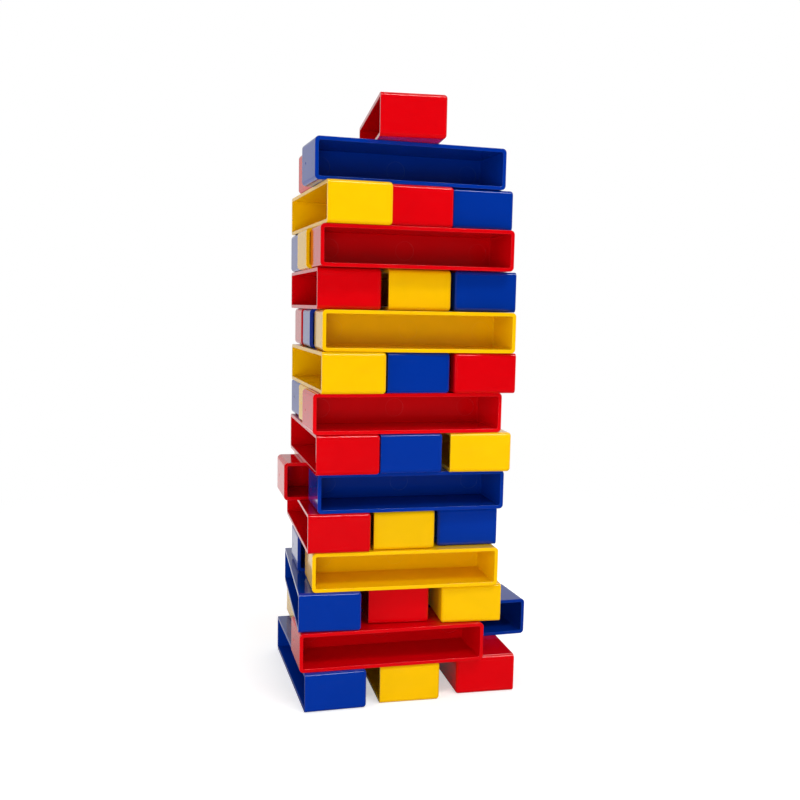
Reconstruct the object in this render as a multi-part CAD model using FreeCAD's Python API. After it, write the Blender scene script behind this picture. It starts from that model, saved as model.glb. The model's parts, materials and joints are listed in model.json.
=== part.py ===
"""Giant tumbling tower: hollow moulded plastic blocks stacked three to a level.

Units are millimetres. +Z is up. The front of the tower faces -Y and its right-hand side faces +X.
The origin is the tower's centre line at floor level.
Odd levels run front to back, along Y. Even levels run left to right, along X.
Every block is the same moulding: a long box, open along one of its two narrow long sides.
"""

import FreeCAD, Part
import math
import os

from FreeCAD import Placement, Rotation, Vector

os.makedirs("parts", exist_ok=True)

# ---- driving sizes of the one block moulding ----
block_length = 183.0
block_width = 60.0
block_height = 38.0
wall = 3.5
back_wall = 3.5

# ---- rounding of the moulding ----
end_corner_radius = 4.0
back_edge_radius = 3.0
rim_radius = 0.5
inner_corner_radius = 1.5
inner_floor_radius = 1.2
cavity_draft_deg = 0.5

# ---- marks left by the mould ----
gate_diameter = 2.5
gate_depth = 0.6
gate_from_open_side = 0.68 * block_width
ejector_diameter = 18.0
ejector_depth = 0.2
ejector_from_cavity_end = 14.0

# ---- how the tower is stacked ----
side_gap = 1.0
stacking_clearance = 0.1
slot_pitch = block_width + side_gap
level_pitch = block_height + stacking_clearance

LENGTHWISE = "lengthwise"
CROSSWISE = "crosswise"
SLOT_NAMES = {LENGTHWISE: ("left", "middle", "right"), CROSSWISE: ("front", "middle", "rear")}
MIDDLE_SLOT = 1


class Place:
    """Where one block sits in its level.

    nudge is its offset across the level from its slot, push its offset along its own length.
    opens names the side its hollow faces, and turn is its own turn beyond the level's twist.
    """

    def __init__(self, colour, nudge, push, opens, turn=0.0, gate_first=True, slot=None):
        self.colour = colour
        self.nudge = nudge
        self.push = push
        self.opens = opens
        self.turn = turn
        self.gate_first = gate_first
        self.slot = slot


class Level:
    """One level: the way its blocks run, its twist about +Z in degrees, and its blocks."""

    def __init__(self, number, twist, places):
        self.number = number
        self.twist = twist
        self.places = places
        self.run = LENGTHWISE if number % 2 else CROSSWISE


# Levels from the floor up. Lengthwise levels list left, middle, right. Crosswise: front, middle, rear.
LEVELS = [
    Level(1, -1.0, [
        Place("blue", -11.5, -4.0, "left", turn=2.5),
        Place("yellow", 6.0, 4.5, "left"),
        Place("red", 25.0, 14.0, "right"),
    ]),
    Level(2, 0.5, [
        Place("red", 2.0, -14.0, "front"),
        Place("blue", 6.0, 54.5, "front", turn=2.0),
        Place("yellow", 10.0, -1.0, "front"),
    ]),
    Level(3, -3.0, [
        Place("blue", -10.0, -1.5, "left"),
        Place("red", -1.5, 16.0, "left"),
        Place("yellow", 9.0, 10.0, "right"),
    ]),
    Level(4, -1.5, [
        Place("yellow", 3.0, 1.0, "front"),
        Place("blue", 18.0, -4.5, "front"),
        Place("red", 19.0, 8.0, "front"),
    ]),
    Level(5, -1.0, [
        Place("red", -5.0, 1.0, "left"),
        Place("yellow", -2.0, 7.0, "left"),
        Place("blue", 2.0, 14.5, "right"),
    ]),
    Level(6, 0.0, [
        Place("blue", 3.5, 3.0, "front"),
        Place("red", 11.0, -20.0, "front"),
        Place("yellow", 13.0, 6.0, "front"),
    ]),
    Level(7, 0.0, [
        Place("red", -1.0, -7.5, "left"),
        Place("blue", -1.0, -5.0, "left"),
        Place("yellow", 11.0, -5.0, "left", turn=-3.0),
    ]),
    Level(8, 1.5, [
        Place("red", -5.5, -6.5, "front"),
        Place("yellow", -5.5, 0.0, "front"),
        Place("blue", 3.0, 3.5, "front"),
    ]),
    Level(9, 1.0, [
        Place("yellow", 0.0, -15.5, "left"),
        Place("blue", 1.5, -9.5, "left"),
        Place("red", 4.5, -13.0, "right"),
    ]),
    Level(10, -1.5, [
        Place("yellow", -12.0, 6.5, "front", gate_first=False),
        Place("blue", -3.0, 3.5, "front", gate_first=False),
        Place("red", 0.5, 2.5, "front", gate_first=False),
    ]),
    Level(11, 0.0, [
        Place("red", 0.5, 4.5, "left"),
        Place("yellow", 5.5, 1.0, "left"),
        Place("blue", 8.5, 0.5, "right"),
    ]),
    Level(12, 0.5, [
        Place("red", -12.0, 0.0, "front", gate_first=False),
        Place("yellow", -12.0, -3.5, "front", gate_first=False),
        Place("blue", -10.5, -1.0, "front", gate_first=False),
    ]),
    Level(13, 2.5, [
        Place("yellow", 0.5, -15.5, "left"),
        Place("red", 1.0, -3.5, "left"),
        Place("blue", 1.5, 2.0, "left"),
    ]),
    Level(14, 3.5, [
        Place("blue", -0.5, -9.5, "front"),
        Place("red", 4.5, 0.5, "front"),
    ]),
    Level(15, -5.5, [
        Place("red", 0.5, -26.5, "left", slot=MIDDLE_SLOT),
    ]),
]


def edges_along_width(shape):
    """Straight edges that run along Y."""
    found = []
    for edge in shape.Edges:
        first = edge.Vertexes[0].Point
        last = edge.Vertexes[-1].Point
        if abs(first.x - last.x) < 1e-6 and abs(first.z - last.z) < 1e-6:
            found.append(edge)
    return found


def edges_in_plane(shape, y):
    """Edges that lie wholly in the plane at this Y."""
    found = []
    for edge in shape.Edges:
        box = edge.BoundBox
        if abs(box.YMin - y) < 1e-4 and abs(box.YMax - y) < 1e-4:
            found.append(edge)
    return found


def outer_box():
    """The block's outside, centred in X and Y, standing on Z = 0, open side towards -Y."""
    corner = Vector(-block_length / 2, -block_width / 2, 0)
    box = Part.makeBox(block_length, block_width, block_height, corner)
    box = box.makeFillet(end_corner_radius, edges_along_width(box))
    return box.makeFillet(back_edge_radius, edges_in_plane(box, block_width / 2))


def rounded_rectangle(length, height, radius, y):
    """A closed wire in the plane at this Y, centred on the block's mid height."""
    corner = Vector(-length / 2, y, (block_height - height) / 2)
    across = Vector(length, 0, 0)
    up = Vector(0, 0, height)
    points = [corner, corner + across, corner + across + up, corner + up]
    centres = [
        points[0] + Vector(radius, 0, radius),
        points[1] + Vector(-radius, 0, radius),
        points[2] + Vector(-radius, 0, -radius),
        points[3] + Vector(radius, 0, -radius),
    ]
    diagonal = radius / math.sqrt(2)
    mids = [
        centres[0] + Vector(-diagonal, 0, -diagonal),
        centres[1] + Vector(diagonal, 0, -diagonal),
        centres[2] + Vector(diagonal, 0, diagonal),
        centres[3] + Vector(-diagonal, 0, diagonal),
    ]
    starts = [
        centres[0] + Vector(-radius, 0, 0),
        centres[1] + Vector(0, 0, -radius),
        centres[2] + Vector(radius, 0, 0),
        centres[3] + Vector(0, 0, radius),
    ]
    ends = [
        centres[0] + Vector(0, 0, -radius),
        centres[1] + Vector(radius, 0, 0),
        centres[2] + Vector(0, 0, radius),
        centres[3] + Vector(-radius, 0, 0),
    ]
    edges = []
    for index in range(4):
        edges.append(Part.Arc(starts[index], mids[index], ends[index]).toShape())
        edges.append(Part.LineSegment(ends[index], starts[(index + 1) % 4]).toShape())
    return Part.Wire(edges)


def cavity():
    """The hollow: it narrows slightly towards the closed side so the moulding leaves its core."""
    depth = block_width - back_wall
    taper = 2 * depth * math.tan(math.radians(cavity_draft_deg))
    mouth_length = block_length - 2 * wall
    mouth_height = block_height - 2 * wall
    mouth = rounded_rectangle(mouth_length, mouth_height, inner_corner_radius, -block_width / 2)
    floor_y = block_width / 2 - back_wall
    floor = rounded_rectangle(mouth_length - taper, mouth_height - taper, inner_corner_radius, floor_y)
    hollow = Part.makeLoft([mouth, floor], True, True)
    return hollow.makeFillet(inner_floor_radius, edges_in_plane(hollow, floor_y))


def ejector_marks():
    """Shallow round marks that the ejector pins leave on the inside of the closed side."""
    floor_y = block_width / 2 - back_wall
    reach = block_length / 2 - wall - ejector_from_cavity_end
    marks = []
    for x in (-reach, 0.0, reach):
        centre = Vector(x, floor_y - ejector_depth, block_height / 2)
        marks.append(Part.makeCylinder(ejector_diameter / 2, 2 * ejector_depth, centre, Vector(0, 1, 0)))
    return marks


def gate_mark():
    """The small pit on one end where the plastic entered the mould."""
    y = -block_width / 2 + gate_from_open_side
    start = Vector(-block_length / 2, y, block_height / 2)
    return Part.makeCylinder(gate_diameter / 2, gate_depth, start, Vector(1, 0, 0))


def block():
    """One block, lying along X with its open side towards -Y and its gate mark at the -X end."""
    body = outer_box().cut(cavity())
    body = body.makeFillet(rim_radius, edges_in_plane(body, -block_width / 2))
    body = body.cut(ejector_marks() + [gate_mark()])
    return body.Solids[0]


def turned_block(moulding, place):
    """The block turned so that its hollow faces the stated side and its gate mark the stated end."""
    turned = moulding.copy()
    gate_leads = place.gate_first if place.opens != "right" else not place.gate_first
    if not gate_leads:
        turned.rotate(Vector(0, 0, block_height / 2), Vector(0, 1, 0), 180)
    quarter_turns = {"front": 0, "left": -90, "right": 90}
    turned.rotate(Vector(0, 0, 0), Vector(0, 0, 1), quarter_turns[place.opens])
    turned.rotate(Vector(0, 0, 0), Vector(0, 0, 1), place.turn)
    return turned


def block_offset(level, place, slot):
    """The block's centre in its level before the level is twisted."""
    across = (slot - MIDDLE_SLOT) * slot_pitch + place.nudge
    height = (level.number - 1) * level_pitch
    if level.run == LENGTHWISE:
        return Vector(across, place.push, height)
    return Vector(place.push, across, height)


def node_name(level, place, slot):
    """A plain name such as level_06_front_blue_block."""
    return "level_%02d_%s_%s_block" % (level.number, SLOT_NAMES[level.run][slot], place.colour)


def tower():
    """Every block of the tower in its place, as (node name, solid) pairs."""
    moulding = block()
    pieces = []
    for level in LEVELS:
        twist = Placement(Vector(0, 0, 0), Rotation(Vector(0, 0, 1), level.twist))
        for index, place in enumerate(level.places):
            slot = index if place.slot is None else place.slot
            piece = turned_block(moulding, place)
            piece.translate(block_offset(level, place, slot))
            piece.Placement = twist.multiply(piece.Placement)
            pieces.append((node_name(level, place, slot), piece))
    return pieces


for name, solid in tower():
    solid.exportStep("parts/%s.step" % name)
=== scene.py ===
"""Giant tumbling tower: finishes for its moulded plastic blocks, and the plain studio it stands in.

Lengths are metres unless a name ends in _MM, and angles radians unless it ends in _DEG.
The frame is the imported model's own: +Z is up, the tower's front faces -Y, and its right-hand
side faces +X.
"""

import json
import math

import bpy
from bpy.props import FloatProperty, FloatVectorProperty, PointerProperty
from bpy.types import Operator, Panel, PropertyGroup
from mathutils import Matrix, Vector


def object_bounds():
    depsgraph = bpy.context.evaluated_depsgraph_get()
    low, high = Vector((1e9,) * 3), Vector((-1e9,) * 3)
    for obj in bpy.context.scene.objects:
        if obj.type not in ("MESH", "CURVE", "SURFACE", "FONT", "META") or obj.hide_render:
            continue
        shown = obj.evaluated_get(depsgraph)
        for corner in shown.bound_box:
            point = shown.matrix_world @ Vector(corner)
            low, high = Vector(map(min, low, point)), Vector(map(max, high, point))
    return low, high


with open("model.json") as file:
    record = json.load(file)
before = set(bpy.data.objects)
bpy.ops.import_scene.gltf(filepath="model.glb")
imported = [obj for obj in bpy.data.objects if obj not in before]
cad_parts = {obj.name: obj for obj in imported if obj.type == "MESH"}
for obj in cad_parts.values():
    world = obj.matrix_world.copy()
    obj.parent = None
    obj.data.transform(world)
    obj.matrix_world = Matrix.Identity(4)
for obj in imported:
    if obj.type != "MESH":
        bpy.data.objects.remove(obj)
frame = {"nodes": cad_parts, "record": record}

CAD_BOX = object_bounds()

bl_info = {
    "name": "Giant tumbling tower",
    "version": (1, 0, 0),
    "blender": (4, 5, 0),
    "location": "View3D > Sidebar > Tower",
    "description": "Finishes a tower of glossy moulded plastic blocks and sets up the studio it stands in",
    "category": "Object",
}

TOWER_MIDDLE = (CAD_BOX[0] + CAD_BOX[1]) / 2
MM = 0.001

# ---- colours of the three mouldings, as sRGB ----
RED = "#D6000A"
YELLOW = "#F2BC00"
BLUE = "#002F95"

# ---- real sizes of what shows on a moulded, much handled block ----
FLOW_MM = 34.0
SINK_MM = 42.0
PEEL_MM = 2.5
SCUFF_LONG_MM = 26.0
SCUFF_WIDE_MM = 1.4
# The pale rim this wide is partly rubbing and partly a painted highlight along the edges.
RIM_WEAR_AND_HIGHLIGHT_MM = 1.1

# ---- the moulded skin ----
# A contrast is the two values of a pattern between which its mark goes from none to full. The rim's bend
# is the same for the cosine between a surface and its smoothed self, and is smaller where it bends more.
PLASTIC_IOR = 1.45
FLOW_CONTRAST = (0.3, 0.7)
RIM_BEND = (0.92, 0.7)
RIM_SAMPLES = 4
# How far the rims pale towards white: partly rubbing, partly a painted highlight.
RUBBED_AND_HIGHLIGHT_WHITENESS = 0.3
SCUFF_CONTRAST = (0.6, 0.8)
SCUFF_TURNS = ((0.0, 0.0, 0.35), (0.3, 0.0, 1.9))

# ---- the white floor ----
# The gloss mirrors the floor dim at the first of two places along Y and bright at the second.
# Between the two clearing radii the floor fades to plain white.
PAPER = "#E6E6E6"
FLOOR_SIDES = 96
FLOOR_LIFT = 0.5
FLOOR_GLOSS_PLACES = (-0.1, 0.3)
FLOOR_GLOSS_LEVELS = (0.05, 0.8)
FLOOR_CLEARING = (0.35, 1.1)

# ---- the surroundings ----
# The gloss mirrors them dim in directions that point to the front and bright in those to the back.
ROOM_GLOSS_TURN = (-0.35, 0.35)
ROOM_GLOSS_LEVELS = (0.02, 0.7)

# ---- the soft lights: where each stands, its width and height, and whether the gloss mirrors it ----
# The mirrored strip draws the pale lines along the blocks' top edges. The three that aren't mirrored fill.
STRIP_LIGHT = {"place": (0.45, -1.2, 2.0), "size": (1.1, 0.3), "mirrored": True}
FRONT_LIGHT = {"place": (-0.35, -1.2, 0.15), "size": (0.4, 0.3), "mirrored": False}
LEFT_LIGHT = {"place": (-1.75, -0.95, 0.4), "size": (0.8, 1.2), "mirrored": False}
RIGHT_LIGHT = {"place": (1.75, -0.95, 0.4), "size": (0.8, 1.2), "mirrored": False}
EDGE_LIGHT = {"place": (0.0, 1.7, 1.6), "size": (2.4, 0.5), "mirrored": True}

# ---- the camera ----
SENSOR_WIDTH_MM = 36.0
LENS_MM = 43.76
CAMERA_PLACE = Vector((-0.2281, -0.9715, 0.3846))
CAMERA_AZIMUTH_DEG = 13.85
CAMERA_DOWN_DEG = 6.87
CAMERA_ROLL_DEG = 1.12
CAMERA_SHIFT_X = -0.0009
CAMERA_SHIFT_Y = 0.0299


def linear(hex_colour):
    """An sRGB hex colour as linear red, green, blue and an alpha of 1."""
    values = []
    for start in (1, 3, 5):
        value = int(hex_colour[start:start + 2], 16) / 255
        values.append(value / 12.92 if value <= 0.04045 else ((value + 0.055) / 1.055) ** 2.4)
    return (*values, 1.0)


def add_node(tree, kind, settings=None, links=None):
    """Adds a node. settings holds its own fields and socket values, links the outputs that feed it.

    A key is a field's name, a socket's name, or a socket's number where names repeat.
    """
    node = tree.nodes.new(kind)
    for key, value in (settings or {}).items():
        if isinstance(key, str) and key not in node.inputs:
            setattr(node, key, value)
        else:
            node.inputs[key].default_value = value
    for key, source in (links or {}).items():
        tree.links.new(source, node.inputs[key])
    return node


def per_metre(size_mm):
    """The texture scale that makes one feature this many millimetres wide."""
    return 1.0 / (size_mm * MM)


def moulded_plastic(name, colour, settings):
    """Injection-moulded polypropylene, core-pulled from a polished steel mould and then handled outdoors.

    To the eye: a deep even colour under a wet-looking gloss, faint flow clouding, walls that
    sink a little between their edges so reflections waver, rims paled partly by rubbing and partly by a
    painted highlight, and long fine scuffs.
    """
    material = bpy.data.materials.new(name)
    material.use_nodes = True
    tree = material.node_tree
    tree.nodes.clear()
    place = add_node(tree, "ShaderNodeTexCoord").outputs["Object"]

    # Colour: a shade of its own for each block, as from several shots, then flow clouding within it.
    shot = add_node(tree, "ShaderNodeObjectInfo").outputs["Random"]
    flow = add_node(tree, "ShaderNodeTexNoise",
                    {"Scale": per_metre(FLOW_MM), "Detail": 4.0, "Distortion": 1.2}, {"Vector": place})
    drift = add_node(tree, "ShaderNodeMapRange",
                     {"To Min": 1 - settings.drift, "To Max": 1 + settings.drift}, {"Value": shot})
    clouding = add_node(tree, "ShaderNodeMapRange",
                        {"From Min": FLOW_CONTRAST[0], "From Max": FLOW_CONTRAST[1],
                         "To Min": 1 - settings.clouding, "To Max": 1.0},
                        {"Value": flow.outputs[0]})
    level = add_node(tree, "ShaderNodeMath", {"operation": "MULTIPLY"},
                     {0: drift.outputs[0], 1: clouding.outputs[0]})
    body = add_node(tree, "ShaderNodeMix",
                    {"data_type": "RGBA", "blend_type": "MULTIPLY", 0: 1.0, 6: colour},
                    {7: level.outputs[0]})

    # Rims and corners: where the surface turns sharply it is rubbed less shiny, and made paler, partly as
    # rubbing and partly as a painted highlight along the edges.
    true_normal = add_node(tree, "ShaderNodeNewGeometry").outputs["Normal"]
    eased = add_node(tree, "ShaderNodeBevel",
                     {"samples": RIM_SAMPLES, "Radius": RIM_WEAR_AND_HIGHLIGHT_MM * MM}).outputs[0]
    agreement = add_node(tree, "ShaderNodeVectorMath", {"operation": "DOT_PRODUCT"},
                         {0: eased, 1: true_normal})
    rim = add_node(tree, "ShaderNodeMapRange",
                   {"From Min": RIM_BEND[0], "From Max": RIM_BEND[1]},
                   {"Value": agreement.outputs["Value"]})
    rub_and_highlight = add_node(tree, "ShaderNodeMath", {"operation": "MULTIPLY"},
                   {0: rim.outputs[0], 1: flow.outputs[0]})
    pale = (*((1 - RUBBED_AND_HIGHLIGHT_WHITENESS) * value + RUBBED_AND_HIGHLIGHT_WHITENESS for value in colour[:3]), 1.0)
    wear_and_highlight = add_node(tree, "ShaderNodeMath", {"operation": "MULTIPLY", 1: settings.rim_wear_and_highlight},
                    {0: rub_and_highlight.outputs[0]})
    worn_and_highlit = add_node(tree, "ShaderNodeMix", {"data_type": "RGBA", 7: pale},
                    {0: wear_and_highlight.outputs[0], 6: body.outputs[2]})

    # Scuffs: long fine streaks, two ways round the block, that only break up the gloss.
    streaks = []
    streak_scale = (per_metre(SCUFF_LONG_MM), per_metre(SCUFF_WIDE_MM), per_metre(SCUFF_WIDE_MM))
    for turn in SCUFF_TURNS:
        stretched = add_node(tree, "ShaderNodeMapping", {"Rotation": turn, "Scale": streak_scale},
                             {"Vector": place})
        streak = add_node(tree, "ShaderNodeTexNoise", {"Scale": 1.0, "Detail": 2.0},
                          {"Vector": stretched.outputs[0]})
        streaks.append(streak.outputs[0])
    crossed = add_node(tree, "ShaderNodeMath", {"operation": "MAXIMUM"}, {0: streaks[0], 1: streaks[1]})
    scuff = add_node(tree, "ShaderNodeMapRange",
                     {"From Min": SCUFF_CONTRAST[0], "From Max": SCUFF_CONTRAST[1]},
                     {"Value": crossed.outputs[0]})
    handled = add_node(tree, "ShaderNodeMath", {"operation": "MAXIMUM"},
                       {0: scuff.outputs[0], 1: rub_and_highlight.outputs[0]})
    rough = add_node(tree, "ShaderNodeMapRange",
                     {"To Min": settings.gloss, "To Max": settings.scuffed}, {"Value": handled.outputs[0]})

    # Relief: broad sink between the walls' edges, and the faint peel of a moulded skin.
    sink = add_node(tree, "ShaderNodeTexNoise", {"Scale": per_metre(SINK_MM), "Detail": 0.0},
                    {"Vector": place})
    peel = add_node(tree, "ShaderNodeTexNoise", {"Scale": per_metre(PEEL_MM), "Detail": 1.0},
                    {"Vector": place})
    broad = add_node(tree, "ShaderNodeBump", {"Strength": 1.0, "Distance": settings.sink_depth},
                     {"Height": sink.outputs[0]})
    relief = add_node(tree, "ShaderNodeBump", {"Strength": 1.0, "Distance": settings.peel_depth},
                      {"Height": peel.outputs[0], "Normal": broad.outputs[0]})

    shader = add_node(tree, "ShaderNodeBsdfPrincipled", {"IOR": PLASTIC_IOR},
                      {"Base Color": worn_and_highlit.outputs[2], "Roughness": rough.outputs[0],
                       "Normal": relief.outputs[0]})
    add_node(tree, "ShaderNodeOutputMaterial", links={"Surface": shader.outputs[0]})
    return material


def finish_blocks(slot, material):
    """Gives one finish to every block that takes this material slot."""
    nodes = [part["node"] for part in frame["record"]["subparts"] if part["material_slot"] == slot]
    if not nodes:
        raise RuntimeError("no block takes the slot " + slot)
    for name in nodes:
        mesh = frame["nodes"][name].data
        mesh.materials.clear()
        mesh.materials.append(material)


class PlasticSettings(PropertyGroup):
    """The colours and surface of the blocks."""

    red: FloatVectorProperty(name="Red", description="Colour of the red blocks", subtype="COLOR", size=3,
                             min=0.0, max=1.0, default=linear(RED)[:3])
    yellow: FloatVectorProperty(name="Yellow", description="Colour of the yellow blocks", subtype="COLOR",
                                size=3, min=0.0, max=1.0, default=linear(YELLOW)[:3])
    blue: FloatVectorProperty(name="Blue", description="Colour of the blue blocks", subtype="COLOR", size=3,
                              min=0.0, max=1.0, default=linear(BLUE)[:3])
    gloss: FloatProperty(name="Gloss", description="Roughness of the clean moulded skin", default=0.08,
                         min=0.0, max=1.0, subtype="FACTOR")
    scuffed: FloatProperty(name="Scuffed", description="Roughness where the skin is scuffed", default=0.26,
                           min=0.0, max=1.0, subtype="FACTOR")
    drift: FloatProperty(name="Drift", description="How far the colour drifts from block to block",
                         default=0.06, min=0.0, max=0.3, subtype="FACTOR")
    clouding: FloatProperty(name="Flow clouding", description="How dark the flow marks are", default=0.05,
                            min=0.0, max=0.3, subtype="FACTOR")
    # How pale the rims are: partly rubbing, partly a painted highlight.
    rim_wear_and_highlight: FloatProperty(name="Rim wear", description="How pale the rims are rubbed", default=0.5,
                            min=0.0, max=1.0, subtype="FACTOR")
    sink_depth: FloatProperty(name="Sink", description="Depth of the broad sink in the walls",
                              default=0.25 * MM, min=0.0, max=2.0 * MM, precision=5,
                              subtype="DISTANCE", unit="LENGTH")
    peel_depth: FloatProperty(name="Peel", description="Depth of the moulded skin's faint peel",
                              default=0.006 * MM, min=0.0, max=1.0 * MM, precision=6,
                              subtype="DISTANCE", unit="LENGTH")


class StudioSettings(PropertyGroup):
    """The floor and the light."""

    floor_radius: FloatProperty(name="Floor radius", description="Radius of the round white floor",
                                default=4.0, min=1.0, max=20.0, subtype="DISTANCE", unit="LENGTH")
    room_light: FloatProperty(name="Room light", description="Even light from all round", default=0.45,
                              min=0.0, max=2.0)
    strip_power: FloatProperty(name="Strip light", description="Power of the narrow light above the front",
                               default=16.0, min=0.0, max=500.0, subtype="POWER", unit="POWER")
    front_power: FloatProperty(name="Front light", description="Power of the light that fills the hollows",
                               default=4.0, min=0.0, max=500.0, subtype="POWER", unit="POWER")
    side_power: FloatProperty(name="Side lights", description="Power of each soft light beside the front",
                              default=10.0, min=0.0, max=500.0, subtype="POWER", unit="POWER")
    edge_power: FloatProperty(name="Edge light", description="Power of the wide light above and behind",
                              default=12.0, min=0.0, max=500.0, subtype="POWER", unit="POWER")


class TOWER_OT_red_blocks(Operator):
    """Finishes the red blocks as glossy moulded polypropylene"""

    bl_idname = "tower.red_blocks"
    bl_label = "Red blocks"

    def execute(self, context):
        settings = context.scene.tower_plastic
        finish = moulded_plastic("moulded polypropylene, signal red", (*settings.red, 1.0), settings)
        finish_blocks("red_plastic", finish)
        return {"FINISHED"}


class TOWER_OT_yellow_blocks(Operator):
    """Finishes the yellow blocks as glossy moulded polypropylene"""

    bl_idname = "tower.yellow_blocks"
    bl_label = "Yellow blocks"

    def execute(self, context):
        settings = context.scene.tower_plastic
        finish = moulded_plastic("moulded polypropylene, sun yellow", (*settings.yellow, 1.0), settings)
        finish_blocks("yellow_plastic", finish)
        return {"FINISHED"}


class TOWER_OT_blue_blocks(Operator):
    """Finishes the blue blocks as glossy moulded polypropylene"""

    bl_idname = "tower.blue_blocks"
    bl_label = "Blue blocks"

    def execute(self, context):
        settings = context.scene.tower_plastic
        finish = moulded_plastic("moulded polypropylene, royal blue", (*settings.blue, 1.0), settings)
        finish_blocks("blue_plastic", finish)
        return {"FINISHED"}


def white_floor_material():
    """Matt white paper: it shows as the white background, and the tower's soft shadow stays on it.

    The extra white is only for what the camera or a reflection sees, so it lights nothing.
    """
    material = bpy.data.materials.new("matt white paper")
    material.use_nodes = True
    tree = material.node_tree
    tree.nodes.clear()
    path = add_node(tree, "ShaderNodeLightPath")
    place = add_node(tree, "ShaderNodeNewGeometry").outputs["Position"]
    y = add_node(tree, "ShaderNodeSeparateXYZ", links={0: place}).outputs["Y"]
    behind = add_node(tree, "ShaderNodeMapRange",
                      {"From Min": FLOOR_GLOSS_PLACES[0], "From Max": FLOOR_GLOSS_PLACES[1],
                       "To Min": FLOOR_GLOSS_LEVELS[0], "To Max": FLOOR_GLOSS_LEVELS[1]}, {"Value": y})
    mirrored = add_node(tree, "ShaderNodeMix", {"data_type": "FLOAT", 2: 1.0},
                        {0: path.outputs["Is Glossy Ray"], 3: behind.outputs[0]})
    tint = add_node(tree, "ShaderNodeMix",
                    {"data_type": "RGBA", "blend_type": "MULTIPLY", 0: 1.0, 6: linear(PAPER)},
                    {7: mirrored.outputs[0]})
    paper = add_node(tree, "ShaderNodeBsdfDiffuse", links={"Color": tint.outputs[2]})
    seen = add_node(tree, "ShaderNodeMath", {"operation": "MAXIMUM"},
                    {0: path.outputs["Is Camera Ray"], 1: path.outputs["Is Transmission Ray"]})
    glossy = add_node(tree, "ShaderNodeMath", {"operation": "MULTIPLY"},
                      {0: path.outputs["Is Glossy Ray"], 1: behind.outputs[0]})
    both = add_node(tree, "ShaderNodeMath", {"operation": "MAXIMUM"},
                    {0: seen.outputs[0], 1: glossy.outputs[0]})
    lift = add_node(tree, "ShaderNodeMath", {"operation": "MULTIPLY", 1: FLOOR_LIFT}, {0: both.outputs[0]})
    white = add_node(tree, "ShaderNodeEmission", {"Color": (1, 1, 1, 1)}, {"Strength": lift.outputs[0]})
    near = add_node(tree, "ShaderNodeAddShader", links={0: paper.outputs[0], 1: white.outputs[0]})
    away = add_node(tree, "ShaderNodeVectorMath", {"operation": "LENGTH"}, {0: place})
    fade = add_node(tree, "ShaderNodeMapRange",
                    {"From Min": FLOOR_CLEARING[0], "From Max": FLOOR_CLEARING[1],
                     "interpolation_type": "SMOOTHSTEP"}, {"Value": away.outputs["Value"]})
    cleared = add_node(tree, "ShaderNodeMath", {"operation": "MULTIPLY"},
                       {0: fade.outputs[0], 1: path.outputs["Is Camera Ray"]})
    plain = add_node(tree, "ShaderNodeEmission", {"Color": (1, 1, 1, 1)})
    total = add_node(tree, "ShaderNodeMixShader",
                     links={0: cleared.outputs[0], 1: near.outputs[0], 2: plain.outputs[0]})
    add_node(tree, "ShaderNodeOutputMaterial", links={"Surface": total.outputs[0]})
    return material


def white_room(strength):
    """A world that lights the tower evenly at this strength and is plain white to look at.

    As the gloss mirrors it, it dims towards the front, so the faces that look that way keep their colour.
    """
    world = bpy.data.worlds.new("white studio")
    bpy.context.scene.world = world
    world.use_nodes = True
    tree = world.node_tree
    tree.nodes.clear()
    path = add_node(tree, "ShaderNodeLightPath")
    way = add_node(tree, "ShaderNodeTexCoord").outputs["Generated"]
    y = add_node(tree, "ShaderNodeSeparateXYZ", links={0: way}).outputs["Y"]
    mirrored = add_node(tree, "ShaderNodeMapRange",
                        {"From Min": ROOM_GLOSS_TURN[0], "From Max": ROOM_GLOSS_TURN[1],
                         "To Min": ROOM_GLOSS_LEVELS[0], "To Max": ROOM_GLOSS_LEVELS[1]}, {"Value": y})
    seen = add_node(tree, "ShaderNodeMath", {"operation": "MAXIMUM"},
                    {0: path.outputs["Is Glossy Ray"], 1: path.outputs["Is Transmission Ray"]})
    lit = add_node(tree, "ShaderNodeMix", {"data_type": "FLOAT", 2: strength},
                   {0: seen.outputs[0], 3: mirrored.outputs[0]})
    shown = add_node(tree, "ShaderNodeMix", {"data_type": "FLOAT", 3: 1.0},
                     {0: path.outputs["Is Camera Ray"], 2: lit.outputs[0]})
    background = add_node(tree, "ShaderNodeBackground", {"Color": (1, 1, 1, 1)},
                          {"Strength": shown.outputs[0]})
    add_node(tree, "ShaderNodeOutputWorld", links={"Surface": background.outputs[0]})


def soft_light(name, layout, power):
    """A rectangular soft light laid out as stated, facing the middle of the tower."""
    lamp = bpy.data.lights.new(name, "AREA")
    lamp.shape = "RECTANGLE"
    lamp.size, lamp.size_y = layout["size"]
    lamp.energy = power
    light = bpy.data.objects.new(name, lamp)
    light.location = layout["place"]
    light.visible_camera = False
    light.visible_glossy = layout["mirrored"]
    light.rotation_euler = (TOWER_MIDDLE - light.location).to_track_quat("-Z", "Y").to_euler()
    bpy.context.scene.collection.objects.link(light)


class TOWER_OT_studio(Operator):
    """Lays the white floor and sets the lights and the white surroundings"""

    bl_idname = "tower.studio"
    bl_label = "Studio"

    def execute(self, context):
        studio = context.scene.tower_studio
        bpy.ops.mesh.primitive_circle_add(vertices=FLOOR_SIDES, radius=studio.floor_radius,
                                          fill_type="NGON")
        floor = context.object
        floor.name = "white_floor"
        floor.data.materials.append(white_floor_material())
        white_room(studio.room_light)
        soft_light("strip_light", STRIP_LIGHT, studio.strip_power)
        soft_light("front_light", FRONT_LIGHT, studio.front_power)
        soft_light("left_light", LEFT_LIGHT, studio.side_power)
        soft_light("right_light", RIGHT_LIGHT, studio.side_power)
        soft_light("edge_light", EDGE_LIGHT, studio.edge_power)
        return {"FINISHED"}


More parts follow.
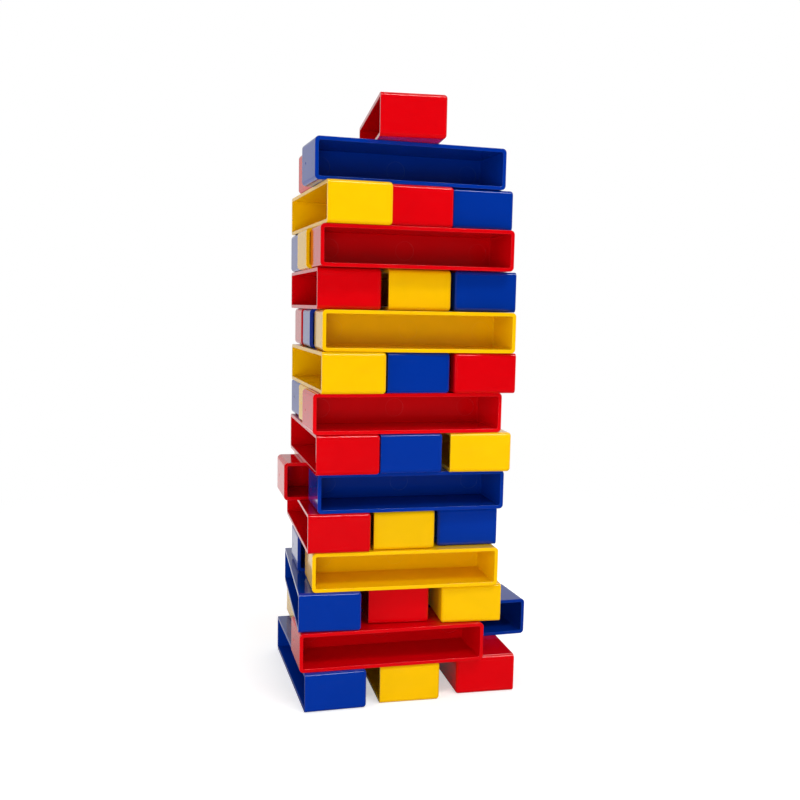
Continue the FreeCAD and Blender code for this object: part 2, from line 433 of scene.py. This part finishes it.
class TOWER_OT_camera(Operator):
    """Sets the camera a little to the left of the front and slightly above the middle of the tower"""

    bl_idname = "tower.camera"
    bl_label = "Camera"

    def execute(self, context):
        data = bpy.data.cameras.new("camera")
        data.sensor_width = SENSOR_WIDTH_MM
        data.lens = LENS_MM
        data.shift_x = CAMERA_SHIFT_X
        data.shift_y = CAMERA_SHIFT_Y
        camera = bpy.data.objects.new("camera", data)
        context.scene.collection.objects.link(camera)
        azimuth = math.radians(CAMERA_AZIMUTH_DEG)
        down = math.radians(CAMERA_DOWN_DEG)
        level = math.cos(down)
        back = -Vector((math.sin(azimuth) * level, math.cos(azimuth) * level, -math.sin(down)))
        facing = back.to_track_quat("Z", "Y").to_matrix().to_4x4()
        roll = Matrix.Rotation(math.radians(CAMERA_ROLL_DEG), 4, "Z")
        camera.matrix_world = Matrix.Translation(CAMERA_PLACE) @ facing @ roll
        context.scene.camera = camera
        context.scene.view_settings.view_transform = "Standard"
        return {"FINISHED"}


OPERATORS = (
    TOWER_OT_red_blocks,
    TOWER_OT_yellow_blocks,
    TOWER_OT_blue_blocks,
    TOWER_OT_studio,
    TOWER_OT_camera,
)


class TOWER_PT_panel(Panel):
    """Every setting and step of the tower"""

    bl_label = "Tumbling tower"
    bl_idname = "TOWER_PT_panel"
    bl_space_type = "VIEW_3D"
    bl_region_type = "UI"
    bl_category = "Tower"

    def draw(self, context):
        for settings in (context.scene.tower_plastic, context.scene.tower_studio):
            box = self.layout.box()
            for name in settings.__annotations__:
                box.prop(settings, name)
        for operator in OPERATORS:
            self.layout.operator(operator.bl_idname)


CLASSES = (PlasticSettings, StudioSettings, *OPERATORS, TOWER_PT_panel)


def register():
    """Adds the settings, the operators and the panel."""
    for kind in CLASSES:
        bpy.utils.register_class(kind)
    bpy.types.Scene.tower_plastic = PointerProperty(type=PlasticSettings)
    bpy.types.Scene.tower_studio = PointerProperty(type=StudioSettings)


def unregister():
    """Takes away what register added."""
    del bpy.types.Scene.tower_studio
    del bpy.types.Scene.tower_plastic
    for kind in reversed(CLASSES):
        bpy.utils.unregister_class(kind)


def main():
    """Builds the whole scene."""
    register()
    bpy.ops.tower.red_blocks()
    bpy.ops.tower.yellow_blocks()
    bpy.ops.tower.blue_blocks()
    bpy.ops.tower.studio()
    bpy.ops.tower.camera()


if __name__ == "__main__":
    main()
